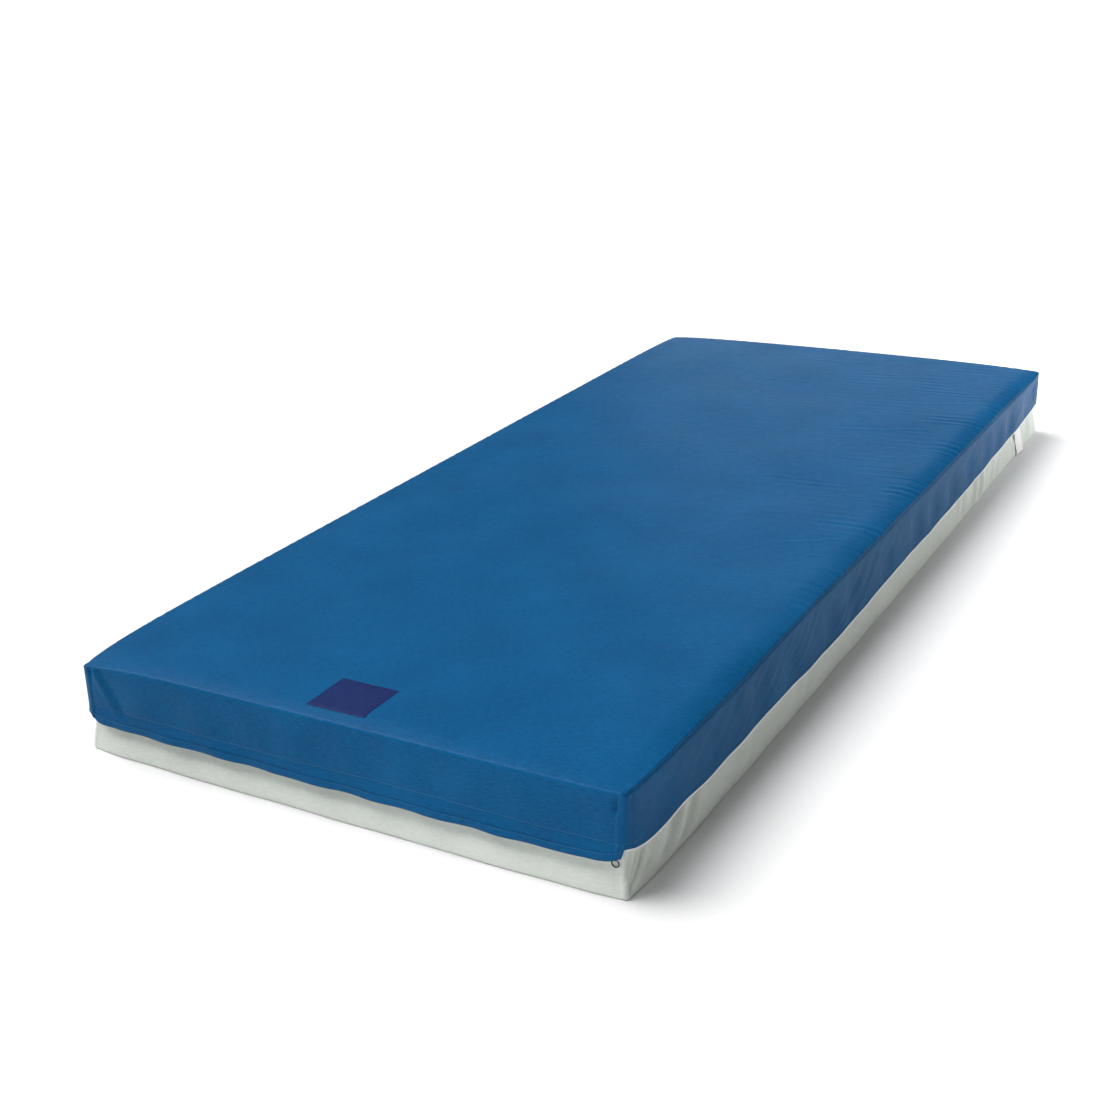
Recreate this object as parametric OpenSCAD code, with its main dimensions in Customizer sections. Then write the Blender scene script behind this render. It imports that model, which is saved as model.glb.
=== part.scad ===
// Foam pressure relief mattress for a long-term-care bed.
// Millimetres, +Z up, origin at the centre of the underside.
// The foot end faces -Y, the head end faces +Y and the sewn long side faces +X.
// The zip runs along the foot end, the -X side and the head end.

/* [Mattress] */
// Overall width over the top cover
mattress_w = 914; // [860:1:1070]
// Overall length over the top cover
mattress_l = 2032; // [1900:1:2200]
// Overall height of the zipped mattress
mattress_h = 152; // [150:1:200]
// Radius of the covers' corners, seen from above
corner_r = 10; // [9:1:14]

/* [Covers] */
// Thickness of the coated cover fabric
cover_t = 1; // [0.8:0.1:1.2]
// Height of the top cover's hem above the floor
hem_z = 57; // [56.8:0.1:58]
// Height of the bottom cover's wall
wall_h = 56; // [54:0.5:56]
// Thickness of the seam that joins the covers on the +X side
seam_t = 0.6; // [0.4:0.1:0.7]

/* [Name label] */
// Width of the blank label
label_w = 98; // [60:1:140]
// Length of the blank label along the mattress
label_l = 84; // [50:1:120]
// Gap from the foot end to the label
label_gap = 26; // [20:1:80]
// Thickness of the label
label_t = 0.5; // [0.3:0.1:0.8]

/* [Zip] */
// Distance from the skirt's outer face to the middle of the zip tape
zip_inset = 8; // [8:0.1:8.4]
// Height of the gap between the two rows of teeth
zip_z = 62.5; // [62.3:0.1:63]
// Gap between the two rows of teeth
teeth_gap = 1.6; // [1.6:0.1:1.8]
// Height of one row of teeth
teeth_h = 1.8; // [1.4:0.1:1.8]
// Thickness of a row of teeth across the tape
teeth_t = 2.2; // [1.6:0.1:2.2]
// Thickness of the zip tape
tape_t = 0.6; // [0.4:0.1:0.6]
// Height of the stitched edge of the upper tape
topstitch_z = 82; // [76:1:90]
// Lower edge of the lower tape
lower_tape_z = 44; // [36:1:48]
// Distance from the mattress's +X face to the ends of the zip
zip_end_gap = 11; // [11:0.5:20]

/* [Slider and pull] */
// Length of the slider along the zip
slider_l = 11; // [9:0.5:13]
// Distance from the zip's end to the middle of the closed slider
slider_gap = 7.5; // [7.5:0.5:12]
// Height of the slider's lower edge
slider_foot_z = 57; // [57:0.1:57.2]
// Height of the slider
slider_h = 10.5; // [10.5:0.1:12]
// Thickness of each slider plate
plate_t = 1; // [0.8:0.1:1]
// Half of the channel that the teeth run through
channel_half = 1.5; // [1.5:0.1:1.6]
// Radius of the slider's bridge bar
bar_r = 0.8; // [0.6:0.05:0.8]
// Radius of the link's two eyes, inside
eye_r = 1; // [0.95:0.05:1.05]
// Radius of the link's two eyes, outside
eye_rim_r = 1.7; // [1.5:0.05:1.7]
// Distance between the link's two eyes
link_l = 6; // [5:0.1:8]
// Thickness of the link
link_t = 1.6; // [1:0.1:2]
// Radius of the ring's wire
wire_r = 0.8; // [0.6:0.05:0.8]
// Radius of the ring to the middle of its wire
ring_r = 5.2; // [5:0.1:6]

/* [Care tag] */
// Width of the care tag along the mattress
tag_w = 48; // [40:1:90]
// Length of the care tag below the seam
tag_l = 52; // [30:1:54]
// Thickness of the care tag
tag_t = 0.6; // [0.4:0.1:0.8]
// Distance from the head end to the middle of the tag
tag_gap = 164; // [60:1:400]

/* [Foam core] */
// Gap between the skirt's outer face and the core along the sides
core_side_gap = 15; // [15:0.5:18]
// Gap between the skirt's outer face and the core at the ends
core_end_gap = 12; // [12:0.5:16]
// Gap between the core and the covers, above and below
core_z_gap = 0.5; // [0.4:0.1:1]
// Thickness of the top layer
top_layer_h = 52; // [40:1:60]
// Thickness of the transition layer
transition_h = 38; // [25:1:45]
// Width of each side bolster
bolster_w = 70; // [50:1:90]
// Length of the head zone
head_zone_l = 600; // [400:10:700]
// Length of the heel zone
heel_zone_l = 500; // [350:10:600]
// Length of the sloped heel section
heel_wedge_l = 300; // [200:10:340]
// Drop of the heel slope at the foot end
heel_drop = 22; // [10:1:35]
// Cell size in the head zone
head_cell = 84; // [70:1:110]
// Cell size in the body zone
body_cell = 62; // [50:1:90]
// Cell size in the heel zone
heel_cell = 46; // [40:1:70]
// Width of the cuts between the cells
cut_w = 2.5; // [2:0.5:4]
// Depth of the cuts between the cells
cut_depth = 22; // [12:1:32]

/* [Hidden] */
$fn = 48;
eps = 0.01;
through = 1;

half_w = mattress_w / 2;
half_l = mattress_l / 2;

// How much the corner radius shrinks for each millimetre of inset
corner_tighten = 0.6;

// Zip: the tape's middle plane, and where the zip ends near the sewn side
tape_y = half_l - zip_inset;
zip_end_x = half_w - zip_end_gap;
wall_inset = zip_inset - tape_t / 2 - cover_t;
upper_teeth_z = zip_z + teeth_gap / 2;
lower_teeth_z = zip_z - teeth_gap / 2 - teeth_h;
ledge_h = 1;
stop_l = 2.4;
stop_t = 3;

// Slider: centred on the tape's plane at the foot end
slider_x = zip_end_x - slider_gap;
slider_y = -tape_y;
front_y = slider_y - channel_half - plate_t;
bar_reach = 2;
bar_rise = 1.5;
bar_y = front_y - bar_reach;
bar_z = slider_foot_z + bar_rise;
bridge_l = 7;
bridge_post_l = 1.2;
lip_rise = 0.4;
lip_h = 1.2;
lip_gap = 0.7;
wedge_t = 1;
wedge_l = 2;
neck_w = 2;
neck_gap = 0.3;
neck_l = link_l - 2 * (eye_r + neck_gap);
wire_facets = 24;
ring_z = bar_z - link_l;

// Care tag: hangs just outside the bottom cover's wall
tag_stand_off = 1.6;
tag_seam_gap = 1.2;
tag_x = half_w - wall_inset + tag_stand_off;
tag_top_z = wall_h - tag_seam_gap;
tag_y = half_l - tag_gap;

// Foam core
core_half_w = half_w - core_side_gap;
core_half_l = half_l - core_end_gap;
core_foot_z = cover_t + core_z_gap;
core_top_z = mattress_h - cover_t - core_z_gap;
top_layer_z = core_top_z - top_layer_h;
transition_z = top_layer_z - transition_h;
inner_half_w = core_half_w - bolster_w;
head_zone_y = core_half_l - head_zone_l;
heel_zone_y = -core_half_l + heel_zone_l;
wedge_y = -core_half_l + heel_wedge_l;

// A flat outline with rounded corners, inset from the mattress's outer faces
module outline(inset) {
    w = mattress_w - 2 * inset;
    l = mattress_l - 2 * inset;
    r = corner_r - inset * corner_tighten;
    square([w - 2 * r, l], center = true);
    square([w, l - 2 * r], center = true);
    for (sx = [-1, 1], sy = [-1, 1])
        translate([sx * (w / 2 - r), sy * (l / 2 - r)])
            circle(r);
}

// A solid slab of that outline
module slab(inset, z, h) {
    translate([0, 0, z])
        linear_extrude(h)
            outline(inset);
}

// A slab whose corners on the sewn side are square, so that the zip ends on a straight run
module zip_slab(inset, z, h) {
    slab(inset, z, h);
    translate([0, inset - half_l, z])
        cube([half_w - inset, mattress_l - 2 * inset, h]);
}

// A band that follows the zip round three sides and stops short of the sewn side
module zip_band(inset, t, z, h) {
    difference() {
        zip_slab(inset, z, h);
        zip_slab(inset + t, z - through, h + 2 * through);
        translate([zip_end_x, -half_l, z - through])
            cube([mattress_w, mattress_l, h + 2 * through]);
    }
}

// A pair of clamped stops, one at each end of the zip
module zip_stops(z) {
    for (side = [-1, 1])
        translate([zip_end_x - stop_l, side * tape_y - stop_t / 2, z])
            cube([stop_l, stop_t, teeth_h]);
}

// A layer of foam between two places along the mattress
module foam_block(half_x, y0, y1, z0, z1) {
    translate([-half_x, y0, z0])
        cube([2 * half_x, y1 - y0, z1 - z0]);
}

// A zone of the top layer, cut into cells over the sleeping width
module cell_foam(y0, y1, cell) {
    across = floor(2 * inner_half_w / cell);
    along = floor((y1 - y0) / cell);
    field_w = across * cell;
    step = (y1 - y0) / along;
    difference() {
        foam_block(core_half_w, y0, y1, top_layer_z, core_top_z);
        for (i = [0 : across])
            translate([i * cell - field_w / 2 - cut_w / 2, y0 + step / 2, core_top_z - cut_depth])
                cube([cut_w, y1 - y0 - step, cut_depth + through]);
        for (j = [0 : along - 1])
            translate([-field_w / 2 - cut_w / 2, y0 + step / 2 + j * step - cut_w / 2, core_top_z - cut_depth])
                cube([field_w + cut_w, cut_w, cut_depth + through]);
    }
}

// A prism across the mattress from an outline in Y and Z
module cross_prism(half_x, points) {
    rotate([90, 0, 90])
        linear_extrude(2 * half_x, center = true)
            polygon(points);
}

// A bolster along one long edge, under the top layer
module bolster(side) {
    translate([side > 0 ? inner_half_w : -core_half_w, -core_half_l, core_foot_z])
        cube([bolster_w, 2 * core_half_l, top_layer_z - core_foot_z]);
}

// Blue coated cover: the sleeping surface and the skirt that laps over the zip
module top_cover() {
    color([0.11, 0.34, 0.62])
        difference() {
            slab(0, hem_z, mattress_h - hem_z);
            slab(cover_t, hem_z - through, mattress_h - hem_z - cover_t + through);
        }
}

// Blank sewn label on the sleeping surface, near the foot end
module name_label() {
    color([0.05, 0.09, 0.29])
        translate([-label_w / 2, -half_l + label_gap, mattress_h])
            cube([label_w, label_l, label_t]);
}

// Upper tape of the zip, turned out and stitched to the inside of the skirt
module upper_zip_tape() {
    tape_z = upper_teeth_z + teeth_h;
    color([0.12, 0.16, 0.24]) {
        zip_band(zip_inset - tape_t / 2, tape_t, tape_z, topstitch_z - tape_z);
        zip_band(cover_t, zip_inset + tape_t / 2 - cover_t, topstitch_z, ledge_h);
    }
}

// Upper row of coil teeth
module upper_zip_teeth() {
    color([0.1, 0.1, 0.12])
        zip_band(zip_inset - teeth_t / 2, teeth_t, upper_teeth_z, teeth_h);
}

// Stops on the upper tape
module upper_zip_stops() {
    color([0.2, 0.2, 0.22])
        translate([stop_l + eps, 0, 0])
            zip_stops(upper_teeth_z);
}

// Grey cover: the floor and the walls up to the zip
module bottom_cover() {
    color([0.78, 0.8, 0.77])
        difference() {
            slab(wall_inset, 0, wall_h);
            slab(wall_inset + cover_t, cover_t, wall_h);
        }
}

// Folded seam along the +X side, where the two covers are sewn together
module side_seam() {
    color([0.7, 0.72, 0.7])
        translate([half_w - wall_inset - cover_t, corner_r - half_l, wall_h])
            cube([wall_inset, mattress_l - 2 * corner_r, seam_t]);
}

// Lower tape of the zip, stitched to the inside of the grey wall
module lower_zip_tape() {
    color([0.12, 0.16, 0.24])
        zip_band(zip_inset - tape_t / 2, tape_t, lower_tape_z, lower_teeth_z - lower_tape_z);
}

// Lower row of coil teeth
module lower_zip_teeth() {
    color([0.1, 0.1, 0.12])
        zip_band(zip_inset - teeth_t / 2, teeth_t, lower_teeth_z, teeth_h);
}

// Stops on the lower tape
module lower_zip_stops() {
    color([0.2, 0.2, 0.22])
        translate([stop_l + eps, 0, 0])
            zip_stops(lower_teeth_z);
}

// One plate of the slider, with the lip that keeps the lower teeth in the channel
module slider_plate(side) {
    translate([-slider_l / 2, side > 0 ? channel_half : -channel_half - plate_t, 0])
        cube([slider_l, plate_t, slider_h]);
    translate([-slider_l / 2, side > 0 ? lip_gap : -channel_half, lip_rise])
        cube([slider_l, channel_half - lip_gap, lip_h]);
}

// Slider: two plates, the wedge between the teeth, and the bridge for the pull
module slider_body() {
    wedge_z = zip_z - slider_foot_z - wedge_t / 2;
    post_y = bar_y - slider_y;
    post_d = front_y - bar_y;
    color([0.06, 0.06, 0.07])
        translate([slider_x, slider_y, slider_foot_z]) {
            slider_plate(-1);
            slider_plate(1);
            translate([slider_l / 2 - wedge_l, -channel_half, wedge_z])
                cube([wedge_l, 2 * channel_half, wedge_t]);
            for (side = [-1, 1])
                translate([side * (bridge_l - bridge_post_l) / 2 - bridge_post_l / 2,
                           post_y - bar_r, bar_z - slider_foot_z - bar_r])
                    cube([bridge_post_l, post_d + bar_r, 2 * bar_r]);
            translate([-bridge_l / 2, post_y, bar_z - slider_foot_z])
                rotate([0, 90, 0])
                    cylinder(h = bridge_l, r = bar_r);
        }
}

// Link with an eye round the slider's bridge and an eye for the ring
module pull_link() {
    color([0.06, 0.06, 0.07])
        translate([slider_x, bar_y, bar_z])
            rotate([0, 90, 0])
                difference() {
                    union() {
                        cylinder(h = link_t, r = eye_rim_r, center = true);
                        translate([link_l, 0, 0])
                            cylinder(h = link_t, r = eye_rim_r, center = true);
                        translate([link_l / 2, 0, 0])
                            cube([neck_l, neck_w, link_t], center = true);
                    }
                    cylinder(h = link_t + 2 * through, r = eye_r, center = true);
                    translate([link_l, 0, 0])
                        cylinder(h = link_t + 2 * through, r = eye_r, center = true);
                }
}

// Ring pull of bent wire, hanging in the link's lower eye
module pull_ring() {
    color([0.06, 0.06, 0.07])
        translate([slider_x, bar_y, ring_z - ring_r])
            rotate([90, 0, 0])
                rotate_extrude()
                    translate([ring_r, 0])
                        circle(wire_r, $fn = wire_facets);
}

// Woven care tag, caught in the side seam near the head end
module care_tag() {
    color([0.95, 0.95, 0.94])
        translate([tag_x - tag_t / 2, tag_y - tag_w / 2, tag_top_z - tag_l])
            cube([tag_t, tag_w, tag_l]);
}

// Head zone of the top layer
module head_zone_foam() {
    color([0.86, 0.9, 0.94])
        cell_foam(head_zone_y, core_half_l, head_cell);
}

// Body zone of the top layer
module body_zone_foam() {
    color([0.72, 0.84, 0.93])
        cell_foam(heel_zone_y, head_zone_y, body_cell);
}

// Heel zone of the top layer
module heel_zone_foam() {
    color([0.93, 0.9, 0.78])
        cell_foam(-core_half_l, heel_zone_y, heel_cell);
}

// Softer layer between the base and the top layer
module transition_foam() {
    color([0.93, 0.93, 0.9])
        foam_block(inner_half_w, wedge_y, core_half_l, transition_z, top_layer_z);
}

// Soft wedge on the base's heel slope
module heel_wedge() {
    color([0.85, 0.75, 0.8])
        cross_prism(inner_half_w, [
            [wedge_y, transition_z],
            [wedge_y, top_layer_z],
            [-core_half_l, top_layer_z],
            [-core_half_l, transition_z - heel_drop]]);
}

// Firm base that slopes down under the heels
module base_foam() {
    color([0.6, 0.63, 0.66])
        cross_prism(inner_half_w, [
            [-core_half_l, core_foot_z],
            [core_half_l, core_foot_z],
            [core_half_l, transition_z],
            [wedge_y, transition_z],
            [-core_half_l, transition_z - heel_drop]]);
}

// Firm bolster along the zipped side
module left_bolster() {
    color([0.5, 0.55, 0.6])
        bolster(-1);
}

// Firm bolster along the sewn side
module right_bolster() {
    color([0.5, 0.55, 0.6])
        bolster(1);
}

top_cover();
name_label();
upper_zip_tape();
upper_zip_teeth();
upper_zip_stops();
bottom_cover();
side_seam();
lower_zip_tape();
lower_zip_teeth();
lower_zip_stops();
slider_body();
pull_link();
pull_ring();
care_tag();
head_zone_foam();
body_zone_foam();
heel_zone_foam();
transition_foam();
heel_wedge();
base_foam();
left_bolster();
right_bolster();
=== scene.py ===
"""Looks of the foam pressure relief mattress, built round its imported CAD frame. Metres, +Z up."""
import math

import bpy
import numpy as np
from mathutils import Matrix, Vector


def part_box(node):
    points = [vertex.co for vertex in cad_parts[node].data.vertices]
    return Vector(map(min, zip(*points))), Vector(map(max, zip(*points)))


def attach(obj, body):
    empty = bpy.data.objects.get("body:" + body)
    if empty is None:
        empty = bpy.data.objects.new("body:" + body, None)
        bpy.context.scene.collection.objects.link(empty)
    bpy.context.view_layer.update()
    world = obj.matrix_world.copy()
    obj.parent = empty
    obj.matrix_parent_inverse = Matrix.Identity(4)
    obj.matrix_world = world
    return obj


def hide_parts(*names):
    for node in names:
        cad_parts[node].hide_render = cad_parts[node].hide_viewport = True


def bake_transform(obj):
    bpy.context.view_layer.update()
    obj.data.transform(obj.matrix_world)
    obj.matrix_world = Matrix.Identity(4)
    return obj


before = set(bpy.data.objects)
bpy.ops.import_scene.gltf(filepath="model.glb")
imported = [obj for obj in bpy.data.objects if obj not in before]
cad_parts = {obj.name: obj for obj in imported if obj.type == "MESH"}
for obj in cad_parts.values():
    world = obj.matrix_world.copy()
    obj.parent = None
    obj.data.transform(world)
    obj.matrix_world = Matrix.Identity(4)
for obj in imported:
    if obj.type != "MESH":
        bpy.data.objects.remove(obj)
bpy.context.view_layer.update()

# ---------------------------------------------------------------- sizes, from the frame
MM = 0.001
TOP_LOW, TOP_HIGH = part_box("top_cover")
HALF_W, HALF_L, HEIGHT = TOP_HIGH.x, TOP_HIGH.y, TOP_HIGH.z
HINGE_Z = TOP_LOW.z  # the cover turns about its sewn hem
WALL_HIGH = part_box("bottom_cover")[1]
STITCH_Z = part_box("upper_zip_tape")[1].z - 6 * MM  # where the tape is sewn to the skirt
FOOT, RIGHT, HEAD, LEFT = range(4)  # sides, in the order that a ring runs

EDGE_R = 5.5 * MM  # roll from the top into the skirt
EDGE_Z = HEIGHT - EDGE_R  # where the roll ends and the skirt begins
CORNER_R = 8.5 * MM  # plan radius of the top cover's corners
SQUARE = 0.8  # how square the corners are: 0 is round, 1 is sharp
HEM_Z = 50 * MM  # usual height of the hem
SEWN_HEM_Z = 56 * MM  # usual height of the hem on the sewn side
HEM_TURN = 11 * MM  # fabric turned up inside the hem
HEM_STITCH = 9 * MM  # how far above the hem its stitches run
WALL_TOP = HINGE_Z - 1.5 * MM  # height of the grey wall where it meets the zip
TOP_INSET = 3 * MM  # how far the top edges are drawn in
SIDE_BELLY = 7.5 * MM  # how far the long sides belly out low down
END_BELLY = 7 * MM  # how far the foot end bellies out low down, and the head end half as far
WALL_FLARE = 8 * MM  # how far the grey wall's foot stands out all round
SLACK = 0.003  # share by which the cloth is cut longer than its form
SHOULDER = 10 * MM  # how far the sewn side's top edge rolls over
FOOT_SHOULDER = 5 * MM  # how far the foot end's top edge rolls over
SHOULDER_W = 45 * MM  # width of those rolls on the panel
PANEL_CAP = 2.5 * MM  # how far the settled panel may rise
SETTLE_CAP = 5 * MM  # how far the settled skirt may move


# ---------------------------------------------------------------- numbers and shapes
def smooth(x, low, high):
    """0 before low, 1 after high, and smooth between them."""
    t = np.clip((x - low) / (high - low), 0, 1)
    return t * t * (3 - 2 * t)


def bump(x, centre, width):
    """A round bump of height 1."""
    return np.exp(-(((x - centre) / width) ** 2))


def fade(distance, reach):
    """1 at an edge, and less and less away from it."""
    return np.exp(-np.maximum(distance, 0) / reach)


def from_ends(p, low, high):
    """How far a place lies from the nearer end of a stretch."""
    return np.minimum(p - low, high - p)


def circle(count, shift=0.0):
    """Points round a unit circle, turned by shift steps."""
    turns = (np.arange(count) + shift) * 2 * math.pi / count
    return np.column_stack([np.cos(turns), np.sin(turns)])


def ripples(p, q, wave, seed, heading=0.0, spread=2 * math.pi, count=10):
    """Smooth folds of about one wavelength. They face heading, give or take half of spread."""
    rng = np.random.default_rng(seed)
    total = np.zeros(np.broadcast(p, q).shape)
    for _ in range(count):
        turn = heading + rng.uniform(-spread, spread) / 2
        k = 2 * math.pi / (wave * rng.uniform(0.7, 1.4))
        phase = rng.uniform(0, 2 * math.pi)
        total += np.sin(k * (p * math.cos(turn) + q * math.sin(turn)) + phase)
    return total / math.sqrt(count)


def graded(half, fine, coarse, growth=1.16):
    """Lines from -half to half: fine steps at both ends that grow to coarse ones."""
    steps, reach, step = [], 0.0, fine
    while step < coarse and reach + step < half * 0.6:
        steps.append(step)
        reach += step
        step *= growth
    middle = 2 * (half - reach)
    count = max(2, round(middle / coarse))
    steps = np.array(steps + [middle / count] * count + steps[::-1])
    lines = np.concatenate([[0.0], np.cumsum(steps)]) - half
    lines[-1] = half
    return lines


def grid(first, second):
    """Every pair of two rows of numbers, where the second number runs first."""
    return (g.ravel() for g in np.meshgrid(first, second, indexing="ij"))


def grid_quads(nx, ny):
    """Faces of a grid whose points run along Y first."""
    i, j = grid(np.arange(nx - 1), np.arange(ny - 1))
    corner = i * ny + j
    return np.stack([corner, corner + ny, corner + ny + 1, corner + 1], -1)


def grid_ring(nx, ny):
    """The grid's border points, anticlockwise from its lowest corner."""
    at = np.arange(nx * ny).reshape(nx, ny)
    return np.concatenate([at[:-1, 0], at[-1, :-1], at[:0:-1, -1], at[0, :0:-1]])


def ring_quads(upper, lower):
    """Faces between two rings of points."""
    return np.stack([lower, np.roll(lower, -1), np.roll(upper, -1), upper], -1)


def mesh_object(name, points, faces):
    """A smooth-shaded mesh from points and lists of faces."""
    mesh = bpy.data.meshes.new(name)
    mesh.from_pydata(np.asarray(points, float).tolist(), [], [list(map(int, f)) for f in faces])
    mesh.polygons.foreach_set("use_smooth", [True] * len(mesh.polygons))
    obj = bpy.data.objects.new(name, mesh)
    bpy.context.scene.collection.objects.link(obj)
    return obj


def store_flat(obj, flat):
    """Keeps each point's place on the flat cut, in metres, for the weave."""
    layer = obj.data.attributes.new("flat", "FLOAT_VECTOR", "POINT")
    values = np.zeros((len(flat), 3), np.float32)
    values[:, :2] = flat
    layer.data.foreach_set("vector", values.ravel())


def round_corners(u, v, half_x, half_y, r):
    """Moves a rectangle's points so that its corners are round. Also gives each point's outward way."""
    a = np.clip((np.abs(u) - (half_x - r)) / r, 0, 1)
    b = np.clip((np.abs(v) - (half_y - r)) / r, 0, 1)
    corner = (a > 0) & (b > 0)
    ax, by = a * np.sqrt(1 - b * b / 2), b * np.sqrt(1 - a * a / 2)
    x = np.sign(u) * np.where(corner, half_x - r + r * ax, np.abs(u))
    y = np.sign(v) * np.where(corner, half_y - r + r * by, np.abs(v))
    out = np.stack([np.sign(u) * np.where(corner, ax, a), np.sign(v) * np.where(corner, by, b)], -1)
    length = np.maximum(np.linalg.norm(out, axis=-1, keepdims=True), 1e-9)
    return x, y, out / length


class BoxedSheet:
    """A cross-shaped cut, sewn up its corners into a lid or a tray.

    The panel is a grid. The skirt is a stack of rings round it. drop is the length of cloth
    from the panel's edge, along is the place along the side, and corner is the way to the
    nearest corner seam.
    """

    def __init__(self, half_x, half_y, corner_r, lines_x, lines_y, drops):
        nx, ny = len(lines_x), len(lines_y)
        self.flap = drops[-1]
        self.cut = (2 * half_x + 2 * self.flap, 2 * half_y + 2 * self.flap)
        u, v = grid(lines_x, lines_y)
        ring = grid_ring(nx, ny)
        self.panel, self.columns, rows = nx * ny, len(ring), len(drops)
        side = np.repeat([FOOT, RIGHT, HEAD, LEFT], [nx - 1, ny - 1, nx - 1, ny - 1])
        ring_u, ring_v = u[ring], v[ring]
        lengthwise = (side == RIGHT) | (side == LEFT)
        along = np.where(lengthwise, ring_v, ring_u)
        to_corner = np.where(lengthwise, half_y - np.abs(ring_v), half_x - np.abs(ring_u))
        x, y, out = round_corners(u, v, half_x, half_y, corner_r)
        self.x = np.concatenate([x, np.tile(x[ring], rows)])
        self.y = np.concatenate([y, np.tile(y[ring], rows)])
        self.out = np.concatenate([np.zeros((self.panel, 2)), np.tile(out[ring], (rows, 1))])
        self.side = np.concatenate([np.full(self.panel, -1), np.tile(side, rows)])
        self.along = np.concatenate([np.zeros(self.panel), np.tile(along, rows)])
        self.corner = np.concatenate([np.full(self.panel, 1.0), np.tile(to_corner, rows)])
        self.drop = np.concatenate([np.zeros(self.panel), np.repeat(drops, self.columns)])
        self.lengthwise = (self.side == RIGHT) | (self.side == LEFT)
        flat_u = np.concatenate([u, np.tile(ring_u, rows)]) + self.out[:, 0] * self.drop
        flat_v = np.concatenate([v, np.tile(ring_v, rows)]) + self.out[:, 1] * self.drop
        self.flat = np.stack([flat_u, flat_v], -1)
        rings = [ring] + [self.panel + k * self.columns + np.arange(self.columns) for k in range(rows)]
        skirt = [ring_quads(upper, lower) for upper, lower in zip(rings, rings[1:])]
        self.faces = np.concatenate([grid_quads(nx, ny)] + skirt)

    def points(self, reach, z):
        """Places with the rings standing reach outside the panel's edge, and everything at height z."""
        longest = np.maximum(np.abs(self.out).max(axis=1), 1e-9)
        way = self.out * (1 - SQUARE + SQUARE / longest)[:, None]
        return np.stack([self.x + way[:, 0] * reach, self.y + way[:, 1] * reach, z], -1)

    def round_trip(self):
        """Side, place along it and way to the corner of each column of the skirt."""
        columns = slice(self.panel, self.panel + self.columns)
        return self.side[columns], self.along[columns], self.corner[columns]

    def line_at(self, points, height):
        """Where each column of the skirt crosses a height, and the column's outward way."""
        rows = points[self.panel:].reshape(-1, self.columns, 3)
        z = rows[:, :, 2]
        below = np.argmax(z < height, axis=0)
        column = np.arange(self.columns)
        a, b = rows[below - 1, column], rows[below, column]
        t = ((a[:, 2] - height) / np.maximum(a[:, 2] - b[:, 2], 1e-9))[:, None]
        return a + (b - a) * t, self.out[self.panel:self.panel + self.columns]


def taps(at, count, closed=False):
    """Indices and weights that read a smooth curve between even values, at steps from the first."""
    base = np.floor(at).astype(int) if closed else np.clip(np.floor(at).astype(int), 0, count - 2)
    t = at - base
    weights = (-0.5 * t + t ** 2 - 0.5 * t ** 3, 1 - 2.5 * t ** 2 + 1.5 * t ** 3,
               0.5 * t + 2 * t ** 2 - 1.5 * t ** 3, 0.5 * t ** 3 - 0.5 * t ** 2)
    if closed:
        return [((base + k) % count, weight) for k, weight in zip((-1, 0, 1, 2), weights)]
    return [(np.clip(base + k, 0, count - 1), weight) for k, weight in zip((-1, 0, 1, 2), weights)]


def read_surface(values, p, q, closed=False):
    """Reads a smooth surface between a grid of even values. p may run round a closed ring."""
    total = 0
    for at_p, weight_p in taps(p, values.shape[0], closed):
        for at_q, weight_q in taps(q, values.shape[1]):
            total = total + (weight_p * weight_q)[:, None] * values[at_p, at_q]
    return total


def run_cloth(obj, pinned, collider, frames):
    """Lets a mesh go as cloth over a collider. Returns its points, and removes both."""
    group = obj.vertex_groups.new(name="pinned")
    group.add(pinned, 1.0, "REPLACE")
    collider.modifiers.new("Collision", "COLLISION")
    collider.collision.thickness_outer = 0.5 * MM
    cloth_modifier = obj.modifiers.new("Cloth", "CLOTH")
    settings = cloth_modifier.settings
    settings.quality = 6
    settings.mass = 0.3
    settings.tension_stiffness = 25
    settings.compression_stiffness = 25
    settings.shear_stiffness = 8
    settings.bending_stiffness = 6
    settings.air_damping = 3
    settings.vertex_group_mass = "pinned"
    settings.shrink_min = -SLACK
    cloth_modifier.collision_settings.distance_min = 0.5 * MM
    cloth_modifier.collision_settings.use_self_collision = False
    cloth_modifier.point_cache.frame_end = frames
    scene = bpy.context.scene
    for number in range(1, frames + 1):
        scene.frame_set(number)
    evaluated = obj.evaluated_get(bpy.context.evaluated_depsgraph_get())
    points = np.empty(3 * len(obj.data.vertices))
    evaluated.data.vertices.foreach_get("co", points)
    scene.frame_set(1)
    for spent in (obj, collider):
        bpy.data.objects.remove(spent)
    return points.reshape(-1, 3)


def resample(points, normals, step, start=0.0):
    """Evenly spaced places on a line, with their forward ways and outward ways."""
    lengths = np.linalg.norm(np.diff(points, axis=0), axis=1)
    reach = np.concatenate([[0], np.cumsum(lengths)])
    at = np.arange(start, reach[-1], step)
    place = np.stack([np.interp(at, reach, points[:, k]) for k in range(3)], -1)
    out = np.stack([np.interp(at, reach, normals[:, k]) for k in range(2)] + [0 * at], -1)
    out /= np.maximum(np.linalg.norm(out, axis=1, keepdims=True), 1e-9)
    ahead = np.gradient(place, axis=0)
    ahead /= np.maximum(np.linalg.norm(ahead, axis=1, keepdims=True), 1e-9)
    return place, ahead, out


def repeat(template, faces, place, ahead, out):
    """Copies of a small shape whose own X, Y and Z lie ahead, outward and up."""
    up = np.cross(ahead, out)
    up *= np.sign(up[:, 2:3])
    points = place[:, None]
    for k, way in enumerate((ahead, out, up)):
        points = points + template[None, :, k:k + 1] * way[:, None]
    shift = np.arange(len(place)) * len(template)
    return points.reshape(-1, 3), [[int(k) + int(s) for k in f] for s in shift for f in faces]


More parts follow.
